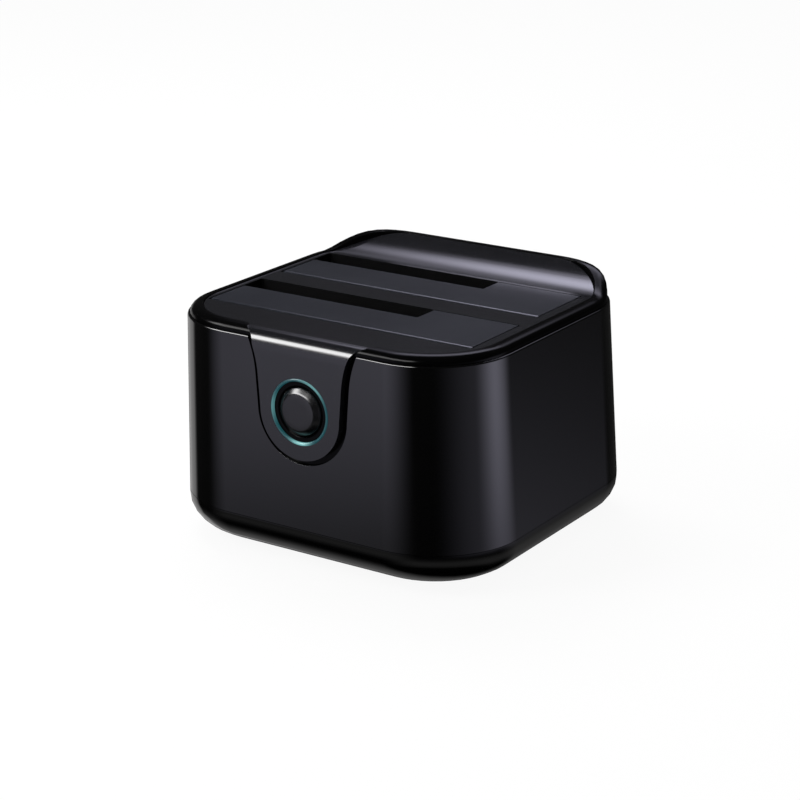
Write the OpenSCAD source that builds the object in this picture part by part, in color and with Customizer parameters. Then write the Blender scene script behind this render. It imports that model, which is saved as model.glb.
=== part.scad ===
// Dual-bay hard drive docking station, standing on its feet.
// Origin: middle of the footprint on the table. +X to the right, +Y to the back, +Z up.
// The body is a drafted sleeve clamped between a rounded base pan and a top bezel. The deck drops
// into the bezel and folds down over the front as a tongue that carries the power button.

/* [Body] */
// Mean distance from a bay to the foot of a side wall
side_room = 10.65; // [10:0.05:20]
// Distance from the rear bay to the foot of the back wall
back_room = 30.3; // [28:0.1:45]
// Height of the deck above the table
deck_h = 79.4; // [72:0.1:95]
// Plan radius of the body's corners at the foot
corner_r = 31.2; // [27:0.1:34]
// Wall thickness of the sleeve
wall = 2.5; // [2:0.1:3]
// Lean of the side walls, in degrees
side_draft = 2.25; // [0.5:0.05:2.5]
// Lean of the back wall, in degrees
back_draft = 5.6; // [1:0.1:6]

/* [Base pan] */
// Height of the pan from its underside to the parting line
pan_h = 13.7; // [12:0.1:16]
// Height of the rounded lower edge
edge_h = 12.1; // [8:0.1:13]
// How far the rounded lower edge curves inwards
edge_in = 17.2; // [10:0.1:18]
// Thickness of the pan's floor
floor_t = 2.4; // [2:0.1:3.2]
// Height of the locating lip that stands up inside the sleeve
lip_h = 3; // [2:0.1:5]
// How far the feet stand below the pan
foot_h = 1; // [0.6:0.1:2.5]
// Radius of a foot
foot_r = 6; // [4:0.5:8]
// Depth of the pockets that the feet are stuck in
foot_pocket = 0.8; // [0.4:0.1:1.2]

/* [Rim and ramp] */
// Width of the rim seen from above
rim_w = 5.3; // [4.6:0.1:6]
// How far the rim stands above the deck
rim_rise = 0.4; // [0.2:0.1:0.8]
// How far the rim's rounded outer edge reaches inwards
rim_round = 4; // [3:0.1:4.6]
// How far the bezel's skirt reaches below the deck
skirt_drop = 2.3; // [2:0.1:3]
// Height of the back ridge above the deck
ridge_rise = 6.2; // [3:0.1:8]
// Length of the ramp up to the ridge, front to back
ramp_run = 19.4; // [14:0.1:20]
// Length over which the ramp bends at its foot and at its top
ramp_blend = 5.9; // [2:0.1:7]
// Distance from the top of the ramp to the back wall
ramp_setback = 3.8; // [3:0.1:5]
// Radius of the sleeve's upper edge
sleeve_edge = 0.6; // [0.6:0.1:1.2]

/* [Deck and bays] */
// Thickness of the deck and the tongue
deck_t = 2.4; // [2:0.1:2.8]
// Width of a 3.5 inch bay
bay_w = 102.8; // [102.4:0.1:104]
// Depth of a 3.5 inch bay, front to back
bay_d = 30.2; // [29.4:0.1:31]
// Width of the strip between the bays
bay_gap = 10.6; // [9.5:0.1:14]
// Distance from the front wall to the first bay
bay_setback = 20.4; // [19.5:0.1:25]
// Sideways offset of the bays from the middle
bay_shift = -0.9; // [-1.1:0.1:0.5]
// Width of a 2.5 inch slot
slot_w = 70.4; // [70:0.1:74]
// Depth of a 2.5 inch slot, front to back
slot_d = 10.5; // [10:0.1:13]

/* [Flaps] */
// Thickness of a flap, which is also the radius of its hinge roll
flap_t = 1.8; // [1.7:0.05:1.9]
// Gap round a flap
flap_gap = 0.4; // [0.3:0.05:0.6]
// Diameter of a hinge pin
pin_d = 1.2; // [1:0.05:1.3]
// Wire diameter of a flap spring
spring_wire = 0.35; // [0.3:0.01:0.36]
// Turns of a flap spring
spring_turns = 10; // [6:1:11]

/* [Tongue] */
// Half width of the tongue and radius of its round end
tongue_r = 15.3; // [14:0.1:17]
// Depth of the round end's centre below the deck
tongue_drop = 24.8; // [22:0.1:30]
// How far the tongue stands in front of the sleeve
tongue_proud = 1.45; // [1.2:0.05:2]
// Width of the black border round the tongue
tongue_border = 2; // [1.2:0.1:2.4]
// Radius of the fold at the front edge of the deck
fold_r = 5.5; // [4.5:0.1:6]
// How far the tongue widens on its way up to the fold
tongue_flare = 3; // [2:0.1:5]
// How far the tongue widens again over the fold, where it meets the rim
tongue_fillet = 2.8; // [1.5:0.1:3.5]
// Sideways offset of the tongue and the button from the middle
tongue_x = 0.5; // [-1:0.1:1]

/* [Power button] */
// Radius of the button cap
cap_r = 8; // [7:0.1:8.2]
// How far the cap stands in front of the tongue
cap_proud = 1; // [0.7:0.1:1.5]
// Width of the cap's rounded edge
cap_edge = 1.5; // [1:0.1:2]
// Travel of the button
cap_travel = 0.6; // [0.3:0.1:0.8]
// Outer radius of the light ring's face
ring_r = 11; // [10.6:0.1:11.4]
// Width of the light ring's face
ring_w = 0.8; // [0.7:0.1:1.1]

/* [Board and ports] */
// Distance from the main board to the foot of a side wall
board_side = 17; // [16.5:0.1:20]
// Distance from the main board to the front wall
board_front = 14; // [13.5:0.1:15]
// Distance from the main board to the foot of the back wall
board_back = 8; // [7:0.1:9]
// Height of the board's top face above the table
board_top = 17; // [16.5:0.1:18.5]
// Height of a drive connector above the board
sata_h = 11; // [10:0.1:12]
// Distance of the data socket from the middle
usb_x = 16; // [13:0.5:18]
// Distance of the power inlet from the middle
dc_x = -16; // [-18:0.5:-13]

/* [Clearances] */
// Seam between the shells
seam = 0.15; // [0.1:0.05:0.2]
// Gap between pieces that drop into each other
fit_gap = 0.15; // [0.1:0.05:0.2]
// Radial play of a pin in its hole
pin_play = 0.05; // [0.03:0.01:0.08]
// Gap round the moving button cap
cap_gap = 0.3; // [0.25:0.05:0.4]

/* [Hidden] */
$fn = 64;
corner_steps = 12;
eps = 0.01;

// Main levels and planes
body_w = bay_w + 2 * side_room;
body_d = bay_setback + 2 * bay_d + bay_gap + back_room;
z_part = foot_h + pan_h;
z_skirt = deck_h - skirt_drop;
z_under = deck_h - deck_t;
y_front = (tongue_proud + cap_proud - body_d) / 2;
y_back = y_front + body_d;
y_face = y_front - tongue_proud;
top_side_in = (deck_h - z_part) * tan(side_draft);
top_back_in = (deck_h - z_part) * tan(back_draft);
ramp_y = y_back - top_back_in - ramp_setback - ramp_run;

// Bays
bay_x0 = bay_shift - bay_w / 2;
bay_x1 = bay_shift + bay_w / 2;
slot_x1 = bay_x0 + slot_w;
front_bay_y = y_front + bay_setback;
rear_bay_y = front_bay_y + bay_d + bay_gap;
collar_t = 0.8;
collar_h = 1.7;
z_collar = z_under - collar_h;
bay_r = 0.8;
ear_w = 2.3;
ear_half = 1.8;
ear_top = 1.2;
pin_in = 1.5;
flap_end_gap = 0.5;

// Flap hinge: the roll sits just behind the front edge of the bay
roll_gap = 0.3;
hinge_dy = roll_gap + flap_t;
z_hinge = deck_h - flap_t;
pin_r = pin_d / 2;
flap_rib_h = 0.9;
flap_rib_w = 1;
stop_w = 12;
stop_x = (slot_x1 + bay_x1) / 2;
stop_reach = 1.2;
stop_leg = 1.6;
stop_h = 1.1;
stop_top = z_under - 0.1;

// Torsion spring in a pocket under the middle of the roll
spring_x = bay_shift;
spring_pitch = 1.2;
coil_r = pin_r + 0.07 + spring_wire / 2;
coil_half = spring_turns * spring_pitch / 2;
pocket_half = coil_half + 3;
pocket_top = coil_r + spring_wire / 2 + 0.08;
spring_leg = 9;
spring_hook = 3.4;

// Drive wells
well_t = 1.6;
well_gap = 0.3;
well_floor_t = 2;
well_top = z_collar - 0.2;
z_well_floor = board_top + sata_h - 4.5;
z_well_bottom = z_well_floor - well_floor_t;
tab_w = 8;
tab_t = 2;
tab_reach = 6;
tab_in = 16.4;
tab_far = 64;
front_tabs = [bay_x0 + tab_in, bay_x1 - tab_in];
rear_tabs = [bay_x0 + tab_in, bay_x0 + tab_far];
mid_tab_x = 20;
stop_window = 9;

// Drive connectors
sata_l = 42.5;
sata_w = 6.4;
sata_dx = 30.3;
sata_dy = 4;

// Screws
case_in = 2.5;
case_x = bay_w / 2 - case_in;
case_post_r = 3;
case_screw_r = 1.25;
case_head_r = 2.5;
case_head_h = 1.1;
case_sink = 3.2;
case_boss = 5.6;
case_screw_l = 12;
case_front_dy = 8;
case_rear_dy = 22;
board_screw_r = 1;
board_head_r = 2.2;
board_head_h = 1.3;
board_post_r = 3;
board_post_in = 8;
foot_side = 26;
foot_x = body_w / 2 - foot_side;
foot_in = 24;
board_grip = 5;
small_grip = 5;
small_screw_r = 0.8;
small_head_r = 1.9;
small_head_h = 1.2;
screw_gap = 0.05;

// Main board and what stands on it
board_t = 1.6;
z_board = board_top - board_t;
board_y0 = y_front + board_front;
board_y1 = y_back - board_back;
board_w = body_w - 2 * board_side;
board_cut = 9;
post_in = 7;
board_post_x = board_w / 2 - post_in;
post_rows = [board_y0 + board_post_in, board_y1 - board_post_in - small_grip];
bridge_w = 14;
bridge_h = 1.2;
bridge_x = 22;
chip_w = 5;
chip_d = 4;
chip_h = 1.6;
chip_pitch = 12;
coil_w = 7.2;
coil_h = 4;
coil_in = 13;
can_r = 3.1;
can_h = 8;
can_pitch = 7;
part_in = 7.2;

// Back ports
usb_w = 12.2;
usb_h = 12.6;
usb_l = 17;
usb_t = 0.5;
port_gap = 0.4;
port_in = 1.9;
y_port = y_back - port_in - (board_top + usb_h - z_part) * tan(back_draft);
dc_w = 9;
dc_h = 11;
dc_l = 11;
dc_nose_r = 4;
dc_nose_l = 3.2;
dc_bore_r = 2.9;
dc_bore_l = 9.5;
dc_pin_r = 1;
dc_pin_l = 8.5;
dc_z = board_top + 6.2;

// Button stack behind the tongue, front to back
button_z = deck_h - tongue_drop + 0.85;
tongue_slope = 0.075;
flare_h = 14;
fillet_h = 2.6;
fillet_run = 3.6;
y_sheet = y_face + deck_t;
apron_t = 2.8;
y_apron = y_sheet + 0.1;
ring_proud = 0.2;
ring_in = ring_r - ring_w;
pipe_r = ring_r + 1.2;
collar_recess = 0.65;
collar_in = cap_r + cap_gap;
collar_out = ring_in - 0.1;
collar_flange_r = ring_r - 0.2;
collar_flange_t = 1.2;
y_collar = y_sheet + 1.3;
cap_flange_r = collar_flange_r - 0.6;
cap_flange_t = 1;
y_cap_flange = y_collar + collar_flange_t + cap_gap;
cap_skin = 1.6;
stem_r = 2;
button_board_gap = 12.25;
y_bboard = y_front + button_board_gap;
bboard_w = 32;
bboard_h = 30;
bboard_t = 1.6;
switch_w = 6;
switch_h = 3.5;
plunger_r = 1.7;
plunger_l = 1.3;
y_switch = y_bboard - switch_h;
y_plunger = y_switch - plunger_l;
led_h = 0.8;
y_pipe = y_bboard - led_h - 0.3;
bboard_posts = [[12.5, 10.5], [-12.5, 10.5], [9.6, -11.6], [-9.6, -11.6]];
bboard_post_r = 1.8;
header_h = 4;
header_w = 12;
header_d = 3;
ribbon_w = 10;
ribbon_t = 0.7;

// Seats of the deck on the bezel
ledge_w = 0.9;
ledge_t = 1.4;
ledge_drop = deck_t + 0.1;

// Plan outline of the body at height z, moved inwards by inset
function lean(z, angle) = max(0, z - z_part) * tan(angle);
function corner(cx, cy, r, start) =
    [for (i = [0 : corner_steps]) let (a = start + 90 * i / corner_steps)
        [cx + r * cos(a), cy + r * sin(a)]];
function outline(z, inset) =
    let (half = body_w / 2 - lean(z, side_draft) - inset,
         y0 = y_front + inset,
         y1 = y_back - lean(z, back_draft) - inset,
         r = corner_r - lean(z, side_draft) - inset)
    concat(corner(half - r, y0 + r, r, -90), corner(half - r, y1 - r, r, 0),
           corner(r - half, y1 - r, r, 90), corner(r - half, y0 + r, r, 180));

// Rise of the deck towards the back ridge: a straight ramp with a bend at its foot and its top
function ramp(y) =
    let (t = min(ramp_run, max(0, y - ramp_y)),
         slope = ridge_rise / (ramp_run - ramp_blend),
         left = ramp_run - t)
    t < ramp_blend ? slope * t * t / (2 * ramp_blend) :
    left > ramp_blend ? slope * (t - ramp_blend / 2) :
    ridge_rise - slope * left * left / (2 * ramp_blend);

// Rise of the deck inside the rim: a hollow of one radius from the flat deck up to the ridge
deck_edge = rim_w + fit_gap;
scoop_run = y_back - top_back_in - deck_edge - ramp_y;
scoop_r = (scoop_run * scoop_run + ridge_rise * ridge_rise) / (2 * ridge_rise);
function scoop(y) =
    let (t = min(scoop_run, max(0, y - ramp_y)))
    scoop_r - sqrt(scoop_r * scoop_r - t * t);

// Rings of points for the shells: level, along the rim, and along the deck inside the rim
function level_ring(z, inset) = [for (p = outline(z, inset)) [p.x, p.y, z]];
function rim_ring(inset, dz) =
    [for (p = outline(deck_h, inset)) [p.x, p.y, deck_h + ramp(p.y) + dz]];
function deck_ring(inset, dz) =
    [for (p = outline(deck_h, inset)) [p.x, p.y, deck_h + scoop(p.y) + dz]];

// Half width of the tongue at depth d below the deck, and its front outline grown by extra
function tongue_half(d) =
    tongue_r + tongue_slope * (tongue_drop - d) + tongue_flare * pow(max(0, 1 - d / flare_h), 2)
    + tongue_fillet * pow(max(0, 1 - d / fillet_h), 2);
function tongue_side(extra) =
    [for (i = [0 : 18]) let (d = (tongue_drop - 1) * pow(i / 18, 2)) [tongue_half(d) + extra, -d]];
function tongue_points(extra) =
    let (side = tongue_side(extra), n = len(side))
    concat([[side[0].x, 2 * fold_r]], side,
           [for (i = [0 : 32]) let (a = -180 * i / 32)
               [(tongue_r + extra) * cos(a), (tongue_r + extra) * sin(a) - tongue_drop]],
           [for (i = [1 : n]) [-side[n - i].x, side[n - i].y]],
           [[-side[0].x, 2 * fold_r]]);

// Section of the bent deck sheet, moved inwards by depth from its outer face
function fold_arc(r) =
    [for (i = [0 : 8]) let (a = 180 - 90 * i / 8)
        [y_face + fold_r + r * cos(a), deck_h - fold_r + r * sin(a)]];
function ramp_line(depth) =
    concat([for (i = [0 : 18]) let (y = ramp_y + scoop_run * i / 18) [y, deck_h - depth + scoop(y)]],
           [[y_back, deck_h - depth + ridge_rise]]);
function sheet_line(depth) =
    concat([[y_face + depth, deck_h - 3 * tongue_drop]], fold_arc(fold_r - depth), ramp_line(depth));
function backwards(list) = [for (i = [len(list) - 1 : -1 : 0]) list[i]];

// Closed band swept round the body through rings of points
module band(rings) {
    n = len(rings[0]);
    m = len(rings);
    points = [for (r = rings) each r];
    faces = [for (i = [0 : m - 1], j = [0 : n - 1])
        let (a = i * n + j, b = i * n + (j + 1) % n,
             c = (i + 1) % m * n + (j + 1) % n, d = (i + 1) % m * n + j)
        each [[a, c, b], [a, d, c]]];
    polyhedron(points, faces);
}

// Tray through rings of points, closed by its first and last ring
module tray(rings) {
    n = len(rings[0]);
    m = len(rings);
    points = [for (r = rings) each r];
    sides = [for (i = [0 : m - 2], j = [0 : n - 1])
        let (a = i * n + j, b = i * n + (j + 1) % n, c = a + n, d = b + n)
        each [[a, d, b], [a, c, d]]];
    first = [for (j = [0 : n - 1]) j];
    last = [for (j = [0 : n - 1]) m * n - 1 - j];
    polyhedron(points, concat(sides, [first, last]));
}

// Box between two corners
module box(low, high) {
    translate(low) cube(high - low);
}

// Shape drawn in the YZ plane and drawn out along X
module along_x(x0, x1) {
    translate([x0, 0, 0]) rotate([90, 0, 90]) linear_extrude(x1 - x0) children();
}

// Front outline of the tongue drawn out from y0 to y1
module tongue_prism(extra, y0, y1) {
    translate([tongue_x, y1, deck_h]) rotate([90, 0, 0])
        linear_extrude(y1 - y0) polygon(tongue_points(extra));
}

// Rounded corners in plan between the tongue and the front edge of the deck, grown by extra
module tongue_corners(extra) {
    y_fold = y_face + fold_r;
    y_rim = y_front + deck_edge;
    half = tongue_half(0);
    inner = half - 2 * tongue_fillet;
    for (side = [-1, 1])
        translate([tongue_x, 0, z_under - 0.1]) linear_extrude(fold_r)
            polygon(concat([[side * inner, y_rim + 0.5], [side * inner, y_fold - extra - eps]],
                           [for (i = [0 : 8]) let (t = i / 8)
                               [side * (half + extra + fillet_run * t),
                                y_fold - extra - eps + (y_rim - y_fold) * (1 - pow(1 - t, 2))]],
                           [[side * (half + extra + fillet_run), y_rim + 0.5]]));
}

// Round solid about the button's axis, drawn as radius and distance in front of the tongue
module button_turn() {
    translate([tongue_x, y_face, button_z]) rotate([90, 0, 0]) rotate_extrude() children();
}

// Rod along Y at x and z
module rod_y(r, y0, y1, x, z) {
    translate([x, y1, z]) rotate([90, 0, 0]) cylinder(r = r, h = y1 - y0);
}

// Rod along X at y and z
module rod_x(r, x0, x1, y, z) {
    translate([x0, y, z]) rotate([0, 90, 0]) cylinder(r = r, h = x1 - x0);
}

// Screw with a flat round head, head down at the origin
module screw_up(shank_r, head_r, head_h, length) {
    cylinder(r = head_r, h = head_h);
    translate([0, 0, head_h - eps]) cylinder(r = shank_r, h = length + eps);
}

// Places of the four case screws
module at_case_screws() {
    for (x = [-case_x, case_x], y = [front_bay_y + case_front_dy, rear_bay_y + case_rear_dy])
        translate([x, y, 0]) children();
}

// Places of the four board posts
module at_board_posts() {
    for (x = [-board_post_x, board_post_x], y = post_rows) translate([x, y, 0]) children();
}

// Places of the feet
module at_feet() {
    for (x = [-foot_x, foot_x], y = [y_front + foot_in, y_back - foot_in]) translate([x, y, 0]) children();
}

// Places of the screws that hold a well to the deck: two on its outer side, one between the wells
module at_well_tabs(bay_y, outer) {
    y0 = bay_y - well_gap - well_t;
    y1 = bay_y + bay_d + well_gap + well_t;
    for (x = outer < 0 ? front_tabs : rear_tabs)
        translate([x, outer < 0 ? y0 - tab_reach / 2 : y1 + tab_reach / 2, 0]) children();
    translate([bay_shift - outer * mid_tab_x, outer < 0 ? y1 + tab_reach / 2 : y0 - tab_reach / 2, 0])
        children();
}

module at_all_well_tabs() {
    at_well_tabs(front_bay_y, -1) children();
    at_well_tabs(rear_bay_y, 1) children();
}

module body_shell() {
    steps = 4;
    z_top = z_skirt - seam;
    edge = [for (i = [0 : steps]) let (a = 90 * i / steps)
        level_ring(z_top - sleeve_edge * (1 - sin(a)), sleeve_edge * (1 - cos(a)))];
    color([0.03, 0.03, 0.035])
    difference() {
        band(concat([level_ring(z_part + seam, 0)], edge,
                    [level_ring(z_top, wall), level_ring(z_part + seam, wall)]));
        tongue_prism(tongue_border, y_front - wall, y_front + 2 * wall);
        box([usb_x - usb_w / 2 - port_gap, y_back - 6 * wall, board_top - port_gap],
            [usb_x + usb_w / 2 + port_gap, y_back + wall, board_top + usb_h + port_gap]);
        rod_y(dc_nose_r + port_gap, y_back - 6 * wall, y_back + wall, dc_x, dc_z);
    }
}

module base_pan() {
    steps = 8;
    thick = wall + fit_gap + 1.4;
    lip_in = wall + fit_gap;
    z_edge = foot_h + edge_h;
    outer = [for (i = [steps : -1 : 0]) let (a = 90 * i / steps)
        level_ring(z_edge - edge_h * sin(a), edge_in * (1 - cos(a)))];
    inner = [for (i = [0 : steps]) let (a = 90 * i / steps)
        level_ring(z_edge - (edge_h - floor_t) * sin(a), thick + edge_in * (1 - cos(a)))];
    z_floor = foot_h + floor_t;
    color([0.03, 0.03, 0.035])
    difference() {
        union() {
            tray(concat(outer, [level_ring(z_part, 0), level_ring(z_part, lip_in),
                                level_ring(z_part + lip_h, lip_in),
                                level_ring(z_part + lip_h, thick)], inner));
            at_case_screws()
                translate([0, 0, z_floor - eps])
                    cylinder(r = case_post_r + 0.6, h = case_boss - floor_t + eps);
            at_board_posts()
                translate([0, 0, z_floor - eps])
                    cylinder(r = board_post_r, h = z_board - z_floor + eps);
        }
        at_case_screws() {
            cylinder(r = case_screw_r + 0.2, h = z_part);
            cylinder(r = case_head_r + 0.2, h = foot_h + case_sink);
        }
        at_board_posts()
            translate([0, 0, z_board - board_post_in]) cylinder(r = board_screw_r + screw_gap, h = z_part);
        at_feet() cylinder(r = foot_r + fit_gap, h = foot_h + foot_pocket);
        box([usb_x - usb_w / 2 - port_gap, y_back - 2 * edge_in, board_top - port_gap],
            [usb_x + usb_w / 2 + port_gap, y_back, z_part + 2 * lip_h]);
    }
}

// Space taken by the tongue where it passes over the bezel, from its underside outwards
module tongue_pass() {
    intersection() {
        union() {
            tongue_prism(fit_gap, y_face - fold_r, y_front + rim_w + 2);
            tongue_corners(fit_gap);
        }
        along_x(-2.5 * tongue_r, 2.5 * tongue_r)
            polygon(concat([[y_face - fold_r, deck_h - 3 * tongue_drop],
                            [y_apron, deck_h - 3 * tongue_drop]],
                           fold_arc(fold_r - deck_t - 0.1),
                           [[y_front + rim_w + 3, z_under - 0.1],
                            [y_front + rim_w + 3, deck_h + fold_r],
                            [y_face - fold_r, deck_h + fold_r]]));
    }
}

module top_bezel() {
    steps = 6;
    spigot_in = wall + 2 * fit_gap;
    rim_in = 0.8;
    round_h = skirt_drop + rim_rise - 0.3;
    edge = [for (i = [0 : steps]) let (a = 90 * i / steps)
        rim_ring(rim_in + rim_round * (1 - cos(a)), rim_rise - round_h * (1 - sin(a)))];
    color([0.02, 0.02, 0.022])
    difference() {
        union() {
            band(concat([level_ring(z_skirt, rim_in)], edge,
                        [rim_ring(rim_w - 0.3, rim_rise), rim_ring(rim_w, rim_rise - 0.3),
                         deck_ring(rim_w, -ledge_drop),
                         deck_ring(rim_w + ledge_w, -ledge_drop),
                         deck_ring(rim_w + ledge_w, -ledge_drop - ledge_t),
                         deck_ring(spigot_in, -ledge_drop - ledge_t),
                         level_ring(z_skirt, spigot_in)]));
            intersection() {
                tongue_prism(tongue_border - fit_gap, y_apron, y_apron + apron_t);
                box([-2.5 * tongue_r, y_face, 0], [2.5 * tongue_r, 0, z_skirt + 1]);
            }
            for (p = bboard_posts)
                rod_y(bboard_post_r, y_apron + apron_t - eps, y_bboard, tongue_x + p.x, button_z + p.y);
        }
        tongue_pass();
        for (bay_y = [front_bay_y, rear_bay_y]) {
            bay_collar(bay_y, fit_gap);
            pin_ears(bay_y, fit_gap);
        }
        rod_y(pipe_r + fit_gap, y_face, y_bboard, tongue_x, button_z);
        for (p = bboard_posts)
            rod_y(small_screw_r + screw_gap, y_apron + apron_t, y_bboard + 1,
                  tongue_x + p.x, button_z + p.y);
    }
}

// Rib round a bay under the deck
module bay_collar(bay_y, extra) {
    box([bay_x0 - collar_t - extra, bay_y - collar_t - extra, z_collar - extra],
        [bay_x1 + collar_t + extra, bay_y + bay_d + collar_t + extra, z_under + extra + eps]);
}

// Blocks at both ends of a bay that hold the hinge pin, tucked under the rim where it is close
module pin_ears(bay_y, extra) {
    y_hinge = bay_y + hinge_dy;
    box([bay_x0 - ear_w - extra, y_hinge - ear_half - extra, z_collar - extra],
        [bay_x0 + eps, y_hinge + ear_half + extra, z_hinge + ear_top + extra]);
    box([bay_x1 - eps, y_hinge - ear_half - extra, z_collar - extra],
        [bay_x1 + ear_w + extra, y_hinge + ear_half + extra, z_hinge + ear_top + extra]);
}

// Rectangle with rounded corners
function small_corner(x, y, start) =
    [for (i = [0 : 4]) let (a = start + 22.5 * i) [x + bay_r * cos(a), y + bay_r * sin(a)]];
function bay_points(bay_y) =
    let (x0 = bay_x0 + bay_r, x1 = bay_x1 - bay_r, y0 = bay_y + bay_r, y1 = bay_y + bay_d - bay_r)
    concat(small_corner(x0, y0, 180), small_corner(x1, y0, 270),
           small_corner(x1, y1, 0), small_corner(x0, y1, 90));

module bay_cuts(bay_y) {
    y_hinge = bay_y + hinge_dy;
    translate([0, 0, z_collar - 1]) linear_extrude(deck_h) polygon(bay_points(bay_y));
    box([stop_x - stop_w / 2 - flap_gap, bay_y + bay_d - 1, z_collar - 1],
        [stop_x + stop_w / 2 + flap_gap, bay_y + bay_d + 2 * collar_t, z_under]);
    box([spring_x - coil_half - spring_wire - 0.1, bay_y - 2 * collar_t, z_hinge - coil_r - 2 * spring_wire],
        [spring_x - coil_half + spring_wire + 0.1, bay_y + 1, z_under]);
    rod_x(pin_r + pin_play, bay_x0 - pin_in - 0.2, bay_x1 + pin_in + 0.2, y_hinge, z_hinge);
}

module top_deck() {
    boss_r = 2.6;
    color([0.17, 0.18, 0.2])
    difference() {
        union() {
            intersection() {
                along_x(-body_w, body_w)
                    polygon(concat(sheet_line(0), backwards(sheet_line(deck_t))));
                union() {
                    linear_extrude(2 * deck_h) polygon(outline(deck_h, deck_edge));
                    tongue_prism(0, y_face - 1, y_front + deck_edge + 1);
                    tongue_corners(0);
                }
            }
            for (bay_y = [front_bay_y, rear_bay_y]) {
                bay_collar(bay_y, 0);
                pin_ears(bay_y, 0);
            }
            at_all_well_tabs()
                translate([0, 0, z_collar]) cylinder(r = boss_r, h = collar_h + deck_t - 0.5);
        }
        bay_cuts(front_bay_y);
        bay_cuts(rear_bay_y);
        at_all_well_tabs()
            translate([0, 0, z_collar - 1]) cylinder(r = small_screw_r + screw_gap, h = collar_h + 2.4);
        rod_y(ring_r + 0.1, y_face - 1, y_sheet + 1, tongue_x, button_z);
    }
}

// Guide well under one bay; outer is -1 for the front well and 1 for the rear one
module bay_well(bay_y, outer) {
    x0 = bay_x0 - well_gap;
    x1 = bay_x1 + well_gap;
    y0 = bay_y - well_gap;
    y1 = bay_y + bay_d + well_gap;
    post_y = bay_y + (outer < 0 ? case_front_dy : case_rear_dy);
    z_post = foot_h + case_boss + 0.1;
    sata_x = bay_x0 + sata_dx;
    sata_y = bay_y + bay_d - sata_dy;
    color([0.12, 0.12, 0.13])
    difference() {
        union() {
            box([x0 - well_t, y0 - well_t, z_well_bottom], [x1 + well_t, y1 + well_t, well_top]);
            at_well_tabs(bay_y, outer)
                box([-tab_w / 2, -tab_reach / 2 - eps, well_top - tab_t],
                    [tab_w / 2, tab_reach / 2 + eps, well_top]);
            for (x = [-case_x, case_x])
                translate([x, post_y, z_post]) cylinder(r = case_post_r, h = z_well_floor - z_post);
        }
        box([x0, y0, z_well_floor], [x1, y1, well_top + 1]);
        box([sata_x - sata_l / 2 - well_gap, sata_y - sata_w / 2 - well_gap, z_well_bottom - 1],
            [sata_x + sata_l / 2 + well_gap, sata_y + sata_w / 2 + well_gap, z_well_floor + 1]);
        box([stop_x - stop_w / 2 - 2 * flap_gap, y1 - 1, well_top - stop_window],
            [stop_x + stop_w / 2 + 2 * flap_gap, y1 + well_t + 1, well_top + 1]);
        at_well_tabs(bay_y, outer)
            translate([0, 0, well_top - 2 * tab_t]) cylinder(r = small_screw_r + 0.2, h = 3 * tab_t);
        for (x = [-case_x, case_x])
            translate([x, post_y, z_post - 1]) 
                cylinder(r = case_screw_r + screw_gap, h = case_screw_l + 1);
    }
}

module front_bay_well() {
    bay_well(front_bay_y, -1);
}

module rear_bay_well() {
    bay_well(rear_bay_y, 1);
}

// Spring door over one bay, with its hinge roll along the front edge
module flap(bay_y) {
    x0 = bay_x0 + flap_end_gap;
    x1 = bay_x1 - flap_end_gap;
    y_hinge = bay_y + hinge_dy;
    y_end = bay_y + bay_d - flap_gap;
    y_slot = bay_y + bay_d - slot_d;
    rib_pitch = (x1 - x0) / 8;
    z_leg = z_hinge - coil_r + spring_wire / 2 + 0.03;
    color([0.2, 0.22, 0.25])
    difference() {
        union() {
            box([x0, y_hinge, z_hinge], [x1, y_end, deck_h]);
            rod_x(flap_t, x0, x1, y_hinge, z_hinge);
            for (i = [1 : 7]) let (x = x0 + i * rib_pitch)
                if (abs(x - spring_x) > pocket_half)
                    box([x - flap_rib_w / 2, y_hinge + flap_t, z_hinge - flap_rib_h],
                        [x + flap_rib_w / 2,
                         (x < slot_x1 + flap_rib_w ? y_slot : y_end) - 1.8, z_hinge + eps]);
            box([spring_x + coil_half - flap_rib_w, y_hinge + 3, z_leg],
                [spring_x + coil_half + flap_rib_w, y_hinge + spring_leg, z_hinge + eps]);
            box([stop_x - stop_w / 2, y_end - stop_leg, stop_top - stop_h],
                [stop_x + stop_w / 2, y_end, z_hinge + eps]);
            box([stop_x - stop_w / 2, y_end - stop_leg, stop_top - stop_h],
                [stop_x + stop_w / 2, y_end + flap_gap + stop_reach, stop_top]);
        }
        box([x0 - 1, y_slot, z_hinge - flap_rib_h - 1], [slot_x1, y_end + 1, deck_h + 1]);
        rod_x(pin_r + pin_play, x0 - 1, x1 + 1, y_hinge, z_hinge);
        box([spring_x - pocket_half, y_hinge - flap_t - 1, z_hinge - flap_t - 1],
            [spring_x + pocket_half, y_hinge + flap_t + 0.5, z_hinge + pocket_top]);
    }
}

module front_flap() {
    flap(front_bay_y);
}

module rear_flap() {
    flap(rear_bay_y);
}

// Steel pin through the deck's side strips and the flap's roll
module flap_pin(bay_y) {
    color([0.7, 0.71, 0.73])
        rod_x(pin_r, bay_x0 - pin_in, bay_x1 + pin_in, bay_y + hinge_dy, z_hinge);
}

module front_flap_pin() {
    flap_pin(front_bay_y);
}

module rear_flap_pin() {
    flap_pin(rear_bay_y);
}

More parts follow.
